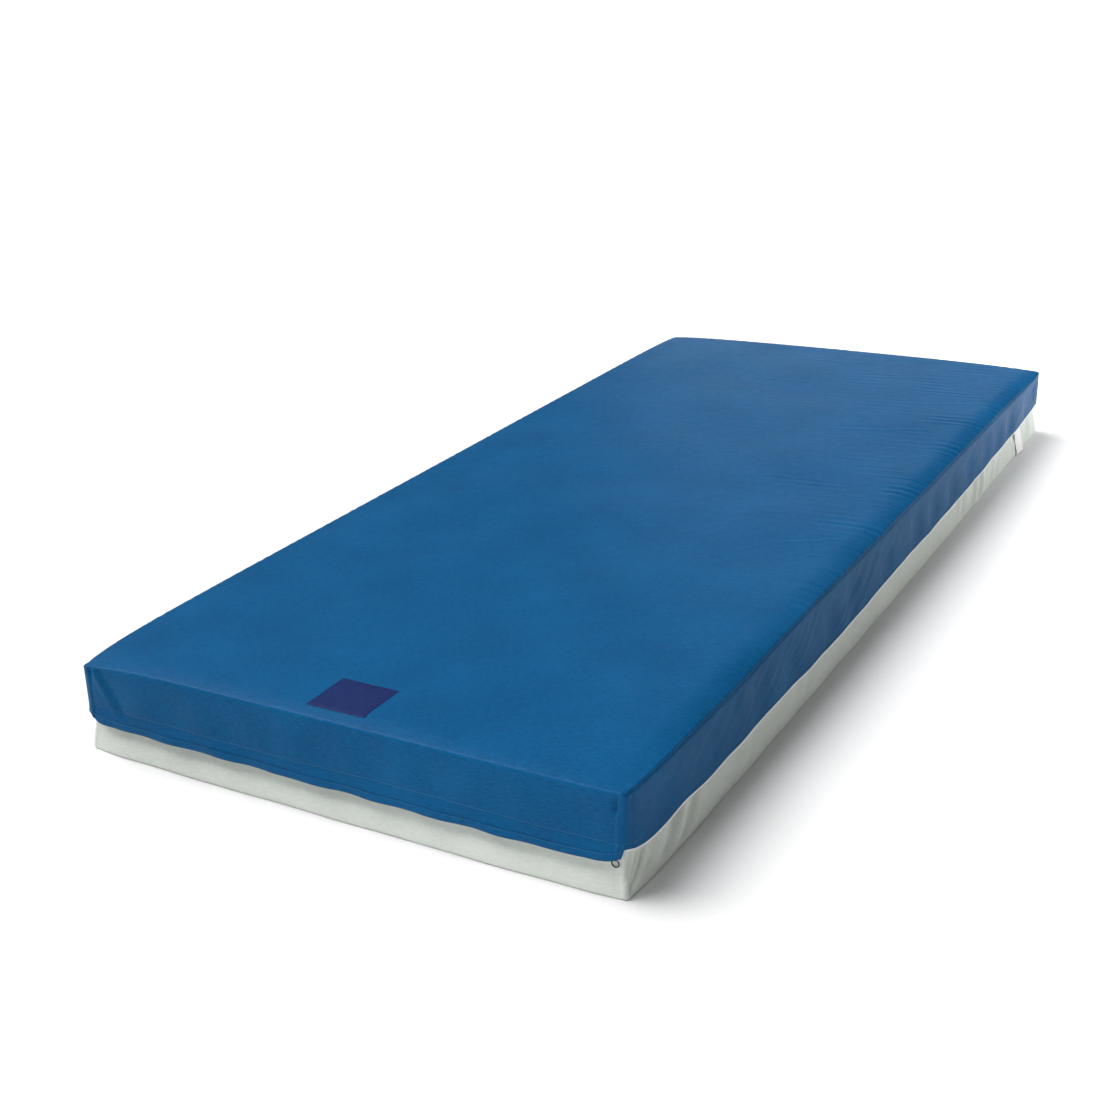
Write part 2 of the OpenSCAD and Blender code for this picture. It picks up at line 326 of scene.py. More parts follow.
def stacked_rings(rings):
    """A closed shape through a stack of rings, with a face at each end."""
    count = len(rings[0])
    points = np.concatenate(rings)
    loops = [k * count + np.arange(count) for k in range(len(rings))]
    faces = [f for a, b in zip(loops, loops[1:]) for f in ring_quads(b, a).tolist()]
    return points, faces + [loops[0][::-1].tolist(), loops[-1].tolist()]


def sweep(name, place, out, section):
    """A closed strip whose section is a ring of (outward, up) offsets, carried along a line."""
    section = np.asarray(section)
    rings = []
    for point, way in zip(place, out):
        ring = np.tile(point, (len(section), 1))
        ring[:, 0] += way[0] * section[:, 0]
        ring[:, 1] += way[1] * section[:, 0]
        ring[:, 2] += section[:, 1]
        rings.append(ring)
    points, faces = stacked_rings(rings)
    return mesh_object(name, points, faces)


# ---------------------------------------------------------------- materials
def material(name, colour, roughness, metallic=0.0, specular=0.5):
    """A new material with a Principled shader. Returns the material, its tree and the shader."""
    made = bpy.data.materials.new(name)
    made.use_nodes = True
    tree = made.node_tree
    shader = tree.nodes["Principled BSDF"]
    shader.inputs["Base Color"].default_value = (*colour, 1)
    shader.inputs["Roughness"].default_value = roughness
    shader.inputs["Metallic"].default_value = metallic
    shader.inputs["Specular IOR Level"].default_value = specular
    return made, tree, shader


def node(tree, kind, links=(), sockets=(), **values):
    """A new node, with its sockets linked or set, and its properties set from values."""
    made = tree.nodes.new(kind)
    for key, value in values.items():
        setattr(made, key, value)
    for key, value in dict(sockets).items():
        made.inputs[key].default_value = value
    for key, source in dict(links).items():
        tree.links.new(source, made.inputs[key])
    return made


def coordinates(tree, flat):
    """Where a texture sits: on the flat cut of a sheet, or in the object's own space."""
    if flat:
        return node(tree, "ShaderNodeAttribute", attribute_name="flat").outputs["Vector"]
    return node(tree, "ShaderNodeTexCoord").outputs["Object"]


def noise(tree, where, scale, detail=3.0, stretch=(1, 1, 1), roughness=0.55):
    """Noise of scale cycles a metre, stretched along an axis."""
    placed = node(tree, "ShaderNodeMapping", {"Vector": where}, {"Scale": stretch})
    made = node(tree, "ShaderNodeTexNoise", {"Vector": placed.outputs["Vector"]},
                {"Scale": scale, "Detail": detail, "Roughness": roughness})
    return made.outputs["Fac"]


def ramp(tree, fac, low, high, start=0.3, end=0.7):
    """A colour that runs from low to high as fac runs from start to end."""
    made = node(tree, "ShaderNodeValToRGB", {"Fac": fac})
    made.color_ramp.elements[0].position = start
    made.color_ramp.elements[1].position = end
    made.color_ramp.elements[0].color = (*low, 1)
    made.color_ramp.elements[1].color = (*high, 1)
    return made.outputs["Color"]


def between(tree, fac, low, high):
    """A number that runs from low to high as fac runs from 0 to 1."""
    made = node(tree, "ShaderNodeMapRange", {"Value": fac}, {"To Min": low, "To Max": high})
    return made.outputs["Result"]


def arithmetic(tree, operation, first, second=0.0, third=0.0):
    """One step of arithmetic on numbers or sockets."""
    made = node(tree, "ShaderNodeMath", operation=operation)
    for socket, value in zip(made.inputs, (first, second, third)):
        if isinstance(value, (int, float)):
            socket.default_value = value
        else:
            tree.links.new(value, socket)
    return made.outputs["Value"]


def weave(tree, where, pitch):
    """Crossing threads of a plain weave: from 0 between threads to 1 on them."""
    axes = node(tree, "ShaderNodeSeparateXYZ", {"Vector": where})
    turn = 2 * math.pi / pitch
    warp = arithmetic(tree, "SINE", arithmetic(tree, "MULTIPLY", axes.outputs["X"], turn))
    weft = arithmetic(tree, "SINE", arithmetic(tree, "MULTIPLY", axes.outputs["Y"], turn))
    return arithmetic(tree, "MULTIPLY_ADD", arithmetic(tree, "MULTIPLY", warp, weft), 0.5, 0.5)


def add_bump(tree, shader, layers):
    """Bump from (height, strength, distance) layers, the coarsest first."""
    normal = None
    for height, strength, distance in layers:
        links = {"Height": height}
        if normal is not None:
            links["Normal"] = normal
        made = node(tree, "ShaderNodeBump", links, {"Strength": strength, "Distance": distance})
        normal = made.outputs["Normal"]
    tree.links.new(normal, shader.inputs["Normal"])


def cloth(name, dark, light, roughness, pitch, crinkle=1.0, specular=0.5, flat=True):
    """A coated or woven fabric: faint blotches, fine creases and a thread grain."""
    made, tree, shader = material(name, light, roughness, specular=specular)
    where = coordinates(tree, flat)
    blotch = noise(tree, where, 7.0, 5.0)
    grain = noise(tree, where, 230.0, 4.0, (0.4, 1.5, 1), 0.75)
    shade = arithmetic(tree, "MULTIPLY_ADD", blotch, 0.3, arithmetic(tree, "MULTIPLY", grain, 0.7))
    tree.links.new(ramp(tree, shade, dark, light, 0.35, 0.65), shader.inputs["Base Color"])
    gloss = noise(tree, where, 60.0)
    tree.links.new(between(tree, gloss, roughness - 0.06, roughness + 0.08), shader.inputs["Roughness"])
    add_bump(tree, shader, [
        (noise(tree, where, 24.0, 4.0), 0.25 * crinkle, 2.0 * MM),
        (noise(tree, where, 110.0, 3.0, (0.35, 1.6, 1)), 0.4 * crinkle, 0.7 * MM),
        (noise(tree, where, 420.0, 2.0, (0.5, 1.4, 1)), 0.5 * crinkle, 0.25 * MM),
        (weave(tree, where, pitch), 0.4, 0.08 * MM),
    ])
    return made


def foam(name, colour):
    """Open-cell foam: pores of two sizes, with painted shade that darkens the hollows of the larger pores.
    """
    made, tree, shader = material(name, colour, 0.95, specular=0.15)
    where = coordinates(tree, False)
    pores = node(tree, "ShaderNodeTexVoronoi", {"Vector": where}, {"Scale": 620.0})
    coarse = node(tree, "ShaderNodeTexVoronoi", {"Vector": where}, {"Scale": 260.0})
    # painted shade: the colour runs darker towards the bottoms of the larger pores, where the bump sinks
    # them
    dark = tuple(0.72 * c for c in colour)
    shade = ramp(tree, coarse.outputs["Distance"], dark, colour, 0.0, 0.35)
    tree.links.new(shade, shader.inputs["Base Color"])
    add_bump(tree, shader, [
        (noise(tree, where, 30.0), 0.2, 1.5 * MM),
        (coarse.outputs["Distance"], 0.5, 0.8 * MM),
        (pores.outputs["Distance"], 0.4, 0.4 * MM),
    ])
    return made


def enamel(name, colour, roughness, metallic):
    """Painted or bare metal and plastic trim: worn a little smoother in patches."""
    made, tree, shader = material(name, colour, roughness, metallic)
    where = coordinates(tree, False)
    wear = noise(tree, where, 900.0, 4.0)
    light = tuple(min(1.0, c * 1.6 + 0.01) for c in colour)
    tree.links.new(ramp(tree, wear, colour, light, 0.45, 0.8), shader.inputs["Base Color"])
    tree.links.new(between(tree, wear, roughness - 0.1, roughness + 0.15), shader.inputs["Roughness"])
    add_bump(tree, shader, [(noise(tree, where, 1500.0), 0.1, 0.05 * MM)])
    return made


def give(obj, made):
    """Puts a material on a piece."""
    obj.data.materials.clear()
    obj.data.materials.append(made)
    return obj


# ---------------------------------------------------------------- top cover
def lean(points, low, inset=TOP_INSET):
    """Leans the sides out between their corners: drawn in where low is 0, bellied where it is 1."""
    x, y = points[:, 0], points[:, 1]
    to_end, to_side = HALF_L - np.abs(y), HALF_W - np.abs(x)
    side = SIDE_BELLY * (1 - fade(to_end, 90 * MM)) * (1 - smooth(y, 0.15, 1.05))
    side -= 3 * MM * fade(to_end, 22 * MM)
    end = np.where(y < 0, 1.0, 0.5) * END_BELLY * (1 - fade(to_side, 60 * MM))
    side_inset = np.where(x > 0, -0.5 * inset * (1 - fade(to_end, 40 * MM)), inset)
    points[:, 0] = x * (1 + (side * low - side_inset * (1 - low)) / HALF_W)
    points[:, 1] = y * (1 + (end * low - inset * (1 - low)) / HALF_L)


def corner_drop(x, y):
    """How far the corners of the top have sunk."""
    to_corner = np.hypot(HALF_W - np.abs(x), HALF_L - np.abs(y))
    depth = np.where(y < 0, np.where(x < 0, 10 * MM, 2 * MM), np.where(x < 0, 7 * MM, 10 * MM))
    tip = np.where((x < 0) & (y < 0), 8 * MM, 0.0) * fade(to_corner, 24 * MM)
    return depth * fade(to_corner, np.where((x > 0) & (y > 0), 150 * MM, 85 * MM)) + tip


def hem_height(side, along, corner):
    """The hem's height round the cover. It waves, and it lifts towards the corner seams."""
    slow = 0.5 * MM * ripples(along, side * 1.7, 0.34, 11, spread=1.0, count=7)
    quick = 0.25 * MM * ripples(along, side, 0.09, 12, spread=1.0, count=5)
    near = along < 0
    free = HEM_Z + np.where(near, 9 * MM * fade(corner, 9 * MM), 6.5 * MM * fade(corner, 32 * MM))
    free += 5 * MM * fade(corner, 6 * MM)
    sewn = SEWN_HEM_Z + np.where(near, 16 * MM * fade(corner, 26 * MM), 9 * MM * fade(corner, 120 * MM))
    sewn += 4 * MM * bump(along, -0.85, 0.05) - 6 * MM * bump(along, -0.28, 0.17)
    sewn += 3 * MM * smooth(along, 0.25, 0.9)
    return np.where(side == RIGHT, sewn, free) + (slow + quick) * smooth(corner, 0, 50 * MM)


def shoulder(side, along):
    """How far the top edge has rolled over, by the place along its side."""
    to_end = np.where(side == RIGHT, HALF_L, HALF_W) - np.abs(along)
    sewn = SHOULDER - 3 * MM * bump(along, -0.4, 0.14) + 3 * MM * bump(along, -0.68, 0.1)
    plain = np.where(side == FOOT, FOOT_SHOULDER, 0.0)
    return np.where(side == RIGHT, sewn, plain) * (1 - fade(to_end, 70 * MM))


def edge_roll(x, y):
    """How far the top has sunk beside the rolled edges of the sewn side and the foot end."""
    beside = np.clip(1 - (HALF_W - x) / SHOULDER_W, 0, 1) ** 2
    before = np.clip(1 - (HALF_L + y) / SHOULDER_W, 0, 1) ** 2
    return shoulder(RIGHT, y) * beside + shoulder(FOOT, x) * before


def panel_lift(x, y):
    """How the top panel stands above or below its flat plane."""
    edge = np.minimum(HALF_W - np.abs(x), HALF_L - np.abs(y))
    inside = smooth(edge, 0, 60 * MM)
    lift = 0.6 * MM * ripples(x, y, 0.3, 21) * inside + 0.8 * MM * smooth(edge, 0, 300 * MM)
    lift -= corner_drop(x, y) + edge_roll(x, y)
    # seam puckers: crosswise crinkles beside the sewn edge, longest towards the head end
    reach = 40 * MM + 260 * MM * smooth(y, -0.5, 0.9)
    near_edge = fade(HALF_W - x, reach) * smooth(y, -0.95, -0.1)
    patchy = smooth(ripples(x, y, 0.14, 23), -0.9, 1.1)
    slanted = y - 0.10 * x
    fine = ripples(x * 0.25, slanted, 0.020, 22, math.pi / 2, 0.5, 14)
    lift += 0.50 * MM * fine * patchy * near_edge * smooth(edge, 1 * MM, 12 * MM)
    # short puckers at the other edges
    other = fade(edge, 14 * MM) * smooth(edge, 0, 3 * MM)
    beside = np.where(HALF_L - np.abs(y) < HALF_W - np.abs(x), x, y)
    lift += 0.35 * MM * ripples(beside, 0 * x, 0.024, 27, 0.0, 0.3) * other
    return lift


def creases(x, y):
    """A few long soft creases pressed into the panel."""
    lines = [  # from x, y to x, y, and height in millimetres
        (-0.40, -0.93, -0.14, -0.955, 0.7), (-0.43, -0.86, -0.30, -0.90, 0.6),
        (-0.36, -0.83, -0.22, -0.85, 0.5), (0.16, 0.42, 0.40, 0.50, 0.7),
        (0.22, 0.63, 0.41, 0.70, 0.7), (0.05, 0.80, 0.30, 0.86, 0.6),
        (0.30, -0.20, 0.43, -0.12, 0.5), (-0.10, 0.90, 0.12, 0.93, 0.5),
    ]
    lift = 0 * x
    for x0, y0, x1, y1, height in lines:
        length = math.hypot(x1 - x0, y1 - y0)
        ux, uy = (x1 - x0) / length, (y1 - y0) / length
        ahead = (x - x0) * ux + (y - y0) * uy
        aside = (y - y0) * ux - (x - x0) * uy + 6 * MM * np.sin(ahead * 14)
        ends = smooth(ahead, 0, 0.3 * length) * (1 - smooth(ahead, 0.7 * length, length))
        lift += height * MM * ends * (bump(aside, 0, 3.5 * MM) - 0.6 * bump(aside, 8 * MM, 5 * MM))
    return lift


def skirt_folds(sheet, fall, z):
    """How far the skirt stands out of its plain shape."""
    side, along, corner = sheet.side, sheet.along, sheet.corner
    sewn = side == RIGHT
    calm = smooth(corner, 0, 45 * MM)
    begun = smooth(fall, 0.0, 0.12)
    wave = 0.5 * MM * ripples(along, z * 0.4 + side, 0.17, 24, 0.0, 0.5) * (0.3 + 0.7 * fall)
    # drags on the sewn side, which slant down towards the foot
    slant = along + 1.7 * (HEIGHT - z)
    strength = 1.2 * bump(along, -0.42, 0.24) + 0.3 * smooth(along, 0.3, 0.9) + 0.15
    drag = ripples(slant, side * 2.3, 0.052, 25, 0.0, 0.2, 6)
    drag = np.where(drag > 0, drag, 0.5 * drag) * smooth(ripples(slant, side, 0.3, 26), -1.6, 0.2)
    pull = np.where(sewn, 1.9 * MM, 0.5 * MM) * drag * strength * (1 - 0.9 * smooth(fall, 0.6, 1))
    out = (wave + pull) * calm * begun
    # the line of stitches that holds the zip tape draws in, and the flap below it stands out
    stitched = smooth(corner, 3 * MM, 10 * MM) * ~sewn
    line = stitch_height(side, along)
    out -= 1.3 * MM * bump(z, line, 2.4 * MM) * stitched
    out += 2.6 * MM * smooth(line - z, 0, line - HEM_Z) * ~sewn
    # corner seams: sunk between two soft ridges, with a pucker under the top corner
    seam = 1.0 * MM * bump(corner, 5 * MM, 3 * MM) - 1.0 * MM * bump(corner, 9 * MM, 2 * MM)
    out += seam * smooth(fall, 0.02, 0.1)
    pucker = bump(corner, 8 * MM, 3.2 * MM) * bump(z, HEIGHT - 19 * MM, 10 * MM)
    out -= np.where(side == FOOT, 4.5 * MM, 1.4 * MM) * pucker
    # a diagonal tuck at the first end of each open side
    tuck = corner - 0.62 * (HEIGHT - z)
    tuck_fade = begun * (along < 0) * ~sewn * (1 - smooth(fall, 0.55, 0.95))
    out += 3.2 * MM * (bump(tuck, 8 * MM, 6 * MM) - bump(tuck, 20 * MM, 7 * MM)) * tuck_fade
    return out


class Settling:
    """How far the cover moves when a coarse copy of it is let go over the foam as cloth.

    The copy is a little slack. It is held along its top edge, along the stitches that carry
    the zip, and along the hem of the sewn side. What it does between those lines is read
    back smoothly for any place on the fine sheet.
    """

    STEP = 24 * MM
    ROWS = 5
    FRAMES = 24

    def __init__(self, half_x, half_y, roll, skirt):
        self.half_x, self.half_y = half_x, half_y
        self.nx, self.ny = round(2 * half_x / self.STEP) + 1, round(2 * half_y / self.STEP) + 1
        self.row = (roll + skirt) / self.ROWS
        self.panel_move = np.zeros((self.nx, self.ny, 3))
        self.skirt_move = np.zeros((2 * (self.nx + self.ny) - 4, self.ROWS + 1, 3))
        self.simulate(roll, skirt)

    def simulate(self, roll, skirt):
        """Runs the coarse copy as cloth, and keeps how far each of its points has moved."""
        lines_x = np.linspace(-self.half_x, self.half_x, self.nx)
        lines_y = np.linspace(-self.half_y, self.half_y, self.ny)
        drops = self.row * np.arange(1, self.ROWS + 1)
        sheet = BoxedSheet(self.half_x, self.half_y, CORNER_R - EDGE_R, lines_x, lines_y, drops)
        fall = np.clip((sheet.drop - roll) / skirt, 0, 1)
        on_skirt = sheet.side >= 0
        z = np.where(on_skirt, EDGE_Z - skirt * fall, HEIGHT)
        start = sheet.points(EDGE_R * on_skirt, z)
        cage = mesh_object("cover_cage", start, sheet.faces)
        form = self.foam_form()
        edge = grid_ring(self.nx, self.ny)
        stitched = on_skirt & (sheet.side != RIGHT) & (np.abs(z - STITCH_Z) < 0.5 * self.row)
        sewn = (sheet.side == RIGHT) & (fall > 0.99)
        seams = on_skirt & (sheet.corner < 1 * MM)
        pinned = np.concatenate([edge, np.nonzero(stitched | sewn | seams)[0]])
        move = run_cloth(cage, [int(k) for k in pinned], form, self.FRAMES) - start
        move = np.clip(move, -SETTLE_CAP, SETTLE_CAP)
        panel, skirt_part = move[:sheet.panel], move[sheet.panel:]
        self.panel_move = panel.reshape(self.nx, self.ny, 3)
        self.panel_move[:, :, 2] = np.clip(self.panel_move[:, :, 2], -0.3 * MM, PANEL_CAP)
        rows = skirt_part.reshape(self.ROWS, sheet.columns, 3).transpose(1, 0, 2)
        self.skirt_move = np.concatenate([panel[edge][:, None], rows], axis=1)

    def foam_form(self):
        """The foam's outline, closed, for the cloth to rest on."""
        x, y, top = self.half_x + 2 * MM, self.half_y + 2 * MM, HEIGHT - 1.5 * MM
        points = [(i * x, j * y, z) for z in (0, top) for i, j in ((-1, -1), (1, -1), (1, 1), (-1, 1))]
        faces = [(3, 2, 1, 0), (4, 5, 6, 7), (0, 1, 5, 4), (1, 2, 6, 5), (2, 3, 7, 6), (3, 0, 4, 7)]
        return mesh_object("foam_form", points, faces)

    def panel(self, u, v):
        """Movement of places on the panel."""
        p = (u + self.half_x) / (2 * self.half_x) * (self.nx - 1)
        q = (v + self.half_y) / (2 * self.half_y) * (self.ny - 1)
        return read_surface(self.panel_move, p, q)

    def skirt(self, side, along, drop):
        """Movement of places on the skirt."""
        lengthwise = (side == RIGHT) | (side == LEFT)
        half = np.where(lengthwise, self.half_y, self.half_x)
        count = np.where(lengthwise, self.ny, self.nx) - 1
        first = np.array([0, self.nx - 1, self.nx + self.ny - 2, 2 * self.nx + self.ny - 3])[side]
        ahead = np.where((side == FOOT) | (side == RIGHT), along, -along)
        place = first + (ahead + half) / (2 * half) * count
        return read_surface(self.skirt_move, place, drop / self.row, closed=True)

    def moves(self, sheet):
        """Movement of every point of the fine sheet."""
        ends = sheet.panel
        panel = self.panel(sheet.flat[:ends, 0], sheet.flat[:ends, 1])
        hem = self.row * self.ROWS
        drop = hem - np.abs(hem - sheet.drop[ends:])
        return np.concatenate([panel, self.skirt(sheet.side[ends:], sheet.along[ends:], drop)])


def lift_with_cover(obj):
    """Bakes a piece's placement into its points."""
    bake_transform(obj)


def stitch_height(side, along):
    """Height of the stitched line, which wanders a little."""
    return STITCH_Z + 1.6 * MM * np.sin(along * 7 + side) + 0.8 * MM * np.sin(along * 17 + 2 * side)


def top_cover_points(sheet, roll, skirt, settled):
    """The top cover at rest: panel, rolled edge, hanging skirt and turned hem, with all their folds."""
    on_skirt = sheet.side >= 0
    d = sheet.drop
    turn = np.clip(d / EDGE_R, 0, math.pi / 2)
    crisp = np.where(sheet.side == FOOT, 0.72, 0.95)
    reach = EDGE_R * np.sin(turn) ** crisp
    z = HEIGHT - EDGE_R * (1 - np.cos(turn) ** crisp)
    hem = hem_height(sheet.side, sheet.along, sheet.corner)
    fall = np.clip((d - roll) / skirt, 0, 1) * on_skirt
    z = np.where(d > roll, EDGE_Z + (hem - EDGE_Z) * fall, z)
    tuck = np.clip((d - roll - skirt) / HEM_TURN, 0, 1)
    bend = smooth(tuck, 0, 0.16)
    z = np.where(tuck > 0, hem + HEM_TURN * tuck - 0.6 * MM * np.sin(bend * math.pi), z)
    reach = (reach + skirt_folds(sheet, fall, np.where(tuck > 0, hem, z)) - 1.5 * MM * bend) * on_skirt
    # the seam between panel and skirt
    seam = bump(d, 0.62 * roll, 0.2 * roll) * on_skirt
    sewn = sheet.side == RIGHT
    reach -= np.where(sewn, 1.2 * MM, 0.4 * MM) * seam
    points = sheet.points(reach, z - np.where(sewn, 0.7 * MM, 0.3 * MM) * seam)
    edge_x, edge_y = np.clip(points[:, 0], -HALF_W, HALF_W), np.clip(points[:, 1], -HALF_L, HALF_L)
    share = np.where(on_skirt, 1 - smooth(d, 0, 2.5 * roll), 1.0)
    points[:, 2] += (panel_lift(edge_x, edge_y) + creases(edge_x, edge_y)) * share
    points[:, 2] += shoulder(sheet.side, sheet.along) * (share - (1 - fall)) * on_skirt
    points += settled.moves(sheet)
    lean(points, fall)
    return points


def build_top_cover():
    """The coated blue cover: one sheet. Returns the sheet and its points, for what is sewn to it."""
    roll = EDGE_R * math.pi / 2
    skirt = EDGE_Z - HEM_Z
    turned = np.array([0.07, 0.16, 0.5, 1.0])
    drops = np.concatenate([roll * np.arange(1, 9) / 8, roll + skirt * np.arange(1, 23) / 22,
                            roll + skirt + HEM_TURN * turned])
    half_x, half_y = HALF_W - EDGE_R, HALF_L - EDGE_R
    lines_x, lines_y = graded(half_x, 1.3 * MM, 8.2 * MM), graded(half_y, 1.3 * MM, 4.8 * MM)
    sheet = BoxedSheet(half_x, half_y, CORNER_R - EDGE_R, lines_x, lines_y, drops)
    settled = Settling(half_x, half_y, roll, skirt)
    points = top_cover_points(sheet, roll, skirt, settled)
    obj = mesh_object("top_cover_cloth", points, sheet.faces)
    store_flat(obj, sheet.flat)
    dark, light = (0.0020, 0.060, 0.165), (0.0046, 0.103, 0.262)
    give(obj, cloth("coated_blue_knit", dark, light, 0.42, 0.9 * MM, specular=0.06))
    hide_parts("top_cover")
    lift_with_cover(obj)
    return sheet, points, settled


def stitch(stations, length, radius):
    """One stitch, from stations of (place along it, thickness, how proud it stands)."""
    return stacked_rings([
        np.array([(s * length, (proud + size * c) * radius, size * e * radius) for c, e in circle(6)])
        for s, size, proud in stations
    ])


def sew_skirt(name, line, out, radius, made):
    """A row of stitches round the skirt, each proud of the cloth and sunk into it at its ends."""
    length, gap = 3.0 * MM, 0.9 * MM
    stations = [(-0.5, 0.5, -0.4), (-0.36, 1.0, 0.2), (0.0, 1.1, 0.45), (0.36, 1.0, 0.2), (0.5, 0.5, -0.4)]
    template, faces = stitch(stations, length, radius)
    points, all_faces = repeat(template, faces, *resample(line, out, length + gap))
    obj = give(mesh_object(name, points, all_faces), made)
    lift_with_cover(obj)


def build_stitching(sheet, points):
    """Thread: the line that holds the zip tape, and the line that holds the hem."""
    thread = cloth("blue_thread", (0.03, 0.14, 0.30), (0.05, 0.19, 0.37), 0.55, 0.4 * MM, flat=False)
    side, along, corner = sheet.round_trip()
    u_turn = np.concatenate([np.nonzero(side == k)[0] for k in (HEAD, LEFT, FOOT)])
    keep = u_turn[corner[u_turn] > 2 * MM]
    line, out = sheet.line_at(points, stitch_height(side, along))
    sew_skirt("tape_stitching", line[keep], out[keep], 0.22 * MM, thread)
    line, out = sheet.line_at(points, hem_height(side, along, corner) + HEM_STITCH)
    sew_skirt("hem_stitching", line, out, 0.2 * MM, thread)


# ---------------------------------------------------------------- bottom cover
def wall_top(side, along, corner):
    """Height of the grey wall's top edge. On the sewn side it follows the hem up."""
    hem = hem_height(side, along, corner)
    return np.where(side == RIGHT, np.maximum(WALL_TOP, hem + 3 * MM), WALL_TOP)


def corner_fan(along, z):
    """Drags on the sewn side that fan up and out from the bottom corner at the foot."""
    ahead = along + HALF_L
    angle = np.arctan2(z, np.maximum(ahead, 1 * MM))
    away = np.hypot(z, ahead)
    fan = 1.4 * MM * np.sin(angle * 24 + 0.4) * bump(away, 46 * MM, 30 * MM) * smooth(angle, 0.2, 0.5)
    fold = ahead - 0.95 * z - 4 * MM
    strong = bump(fold, 0, 3.6 * MM) - 0.7 * bump(fold, 9 * MM, 5 * MM)
    return fan - 3.6 * MM * strong * smooth(z, 4 * MM, 20 * MM)


def wall_folds(sheet, z):
    """How far the grey wall stands out of its plain shape."""
    side, along, corner = sheet.side, sheet.along, sheet.corner
    low = 1 - smooth(z, 26 * MM, 42 * MM)
    calm = smooth(corner, 0, 60 * MM)
    out = 1.5 * MM * smooth(z, 0, 12 * MM) * low * calm
    out += 0.6 * MM * ripples(along, z + side, 0.16, 41, 0.0, 0.9) * calm * low
    # slanting drags along the sewn side
    slant = along - 1.3 * z
    sewn = side == RIGHT
    drag = ripples(slant, side * 1.3, 0.055, 42, 0.0, 0.3)
    drag *= smooth(ripples(along, side, 0.3, 43), -0.5, 1.0)
    out += np.where(sewn, 1.3 * MM, 0.5 * MM) * drag * calm * smooth(z, 2 * MM, 20 * MM)
    out += corner_fan(along, z) * (sewn & (along < -0.5))
    # a fold beside the care tag
    tag_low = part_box("care_tag")[0].y
    beside = along - (tag_low - 12 * MM) + 0.15 * (z - 20 * MM)
    fold = 0.7 * bump(beside, -7 * MM, 5 * MM) - bump(beside, 0, 3 * MM)
    out += 3.2 * MM * fold * sewn * smooth(z, 4 * MM, 16 * MM)
    # corner seams, doubled on the foot and head
    seam = bump(corner, 6 * MM, 1.8 * MM) + bump(corner, 11 * MM, 1.8 * MM) * ~sheet.lengthwise
    return out - 0.9 * MM * seam * smooth(z, 0, 8 * MM) * (1 - smooth(z, 32 * MM, 42 * MM))


def build_bottom_cover():
    """The grey tray. Its walls belly out low down, and stand straight where the zip is sewn on."""
    roll_r = 3.5 * MM
    roll = roll_r * math.pi / 2
    wall = WALL_TOP - roll_r
    drops = np.concatenate([roll * np.arange(1, 6) / 5, roll + wall * np.arange(1, 25) / 24])
    half_x, half_y = WALL_HIGH.x - roll_r, WALL_HIGH.y - roll_r
    lines_x, lines_y = graded(half_x, 1.5 * MM, 9 * MM, 1.06), graded(half_y, 1.5 * MM, 8 * MM, 1.06)
    sheet = BoxedSheet(half_x, half_y, 1.5 * MM, lines_x, lines_y, drops)
    d, on_wall = sheet.drop, sheet.side >= 0
    turn = np.clip(d / roll_r, 0, math.pi / 2)
    reach = roll_r * np.sin(turn)
    rise = (wall_top(sheet.side, sheet.along, sheet.corner) - roll_r) / wall
    z = np.where(d > roll, roll_r + (d - roll) * rise, roll_r * (1 - np.cos(turn)))
    reach = (reach + wall_folds(sheet, z)) * on_wall
    points = sheet.points(reach, z)
    # the zip holds the upper part of the open sides straight, and the sewn side follows the hem
    held = 1 - np.clip(z / (47 * MM), 0, 1) ** 1.4
    low = np.where(sheet.side == RIGHT, 1 - 0.1 * z / HINGE_Z, held)
    lean(points, np.where(on_wall, low, 1.0), inset=0.0)
    points[:, 0] *= 1 + WALL_FLARE * held / HALF_W
    points[:, 1] *= 1 + WALL_FLARE * held / HALF_L
    obj = mesh_object("bottom_cover_cloth", points, sheet.faces[:, ::-1])
    store_flat(obj, sheet.flat)
    dark, light = (0.57, 0.615, 0.565), (0.69, 0.73, 0.68)
    give(obj, cloth("coated_grey_nylon", dark, light, 0.62, 0.8 * MM, 1.2, specular=0.25))
    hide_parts("bottom_cover")
    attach(obj, "root")


def build_side_seam(sheet, points):
    """The welt that shows as a pale line under the hem of the sewn side."""
    side, along, corner = sheet.round_trip()
    line, out = sheet.line_at(points, hem_height(side, along, corner) + 1.2 * MM)
    keep = np.nonzero((side == RIGHT) & (corner > 1 * MM))[0]
    section = np.array([(-2.0, -0.4), (-1.6, -3.4), (-0.4, -3.9), (0.4, -3.5),
                        (0.5, -2.6), (-0.1, -1.5), (-1.0, 1.5), (-1.6, 1.5)]) * MM
    welt = sweep("side_welt", line[keep], out[keep], section)
    pale = cloth("pale_welt", (0.78, 0.80, 0.78), (0.88, 0.90, 0.88), 0.6, 0.8 * MM, flat=False)
    give(welt, pale)
    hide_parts("side_seam")
    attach(welt, "root")


# ---------------------------------------------------------------- zip
def zip_path(step, start=0.0):
    """The zip's line round the foot end, the open side and the head end, with its outward ways."""
    low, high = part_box("lower_zip_teeth")
    half_tooth, r = 1.1 * MM, 10 * MM
    half_x, half_y, end_x = -low.x - half_tooth, high.y - half_tooth, high.x
    corners = [(-half_x + r, -half_y + r, -90, -180), (-half_x + r, half_y - r, 180, 90)]
    points, normals = [(end_x, -half_y)], [(0, -1)]
    for cx, cy, first, last in corners:
        for angle in np.radians(np.linspace(first, last, 13)):
            points.append((cx + r * math.cos(angle), cy + r * math.sin(angle)))
            normals.append((math.cos(angle), math.sin(angle)))
    points.append((end_x, half_y))
    normals.append((0, 1))
    line = np.concatenate([np.array(points), np.zeros((len(points), 1))], -1)
    return resample(line, np.array(normals), step, start)


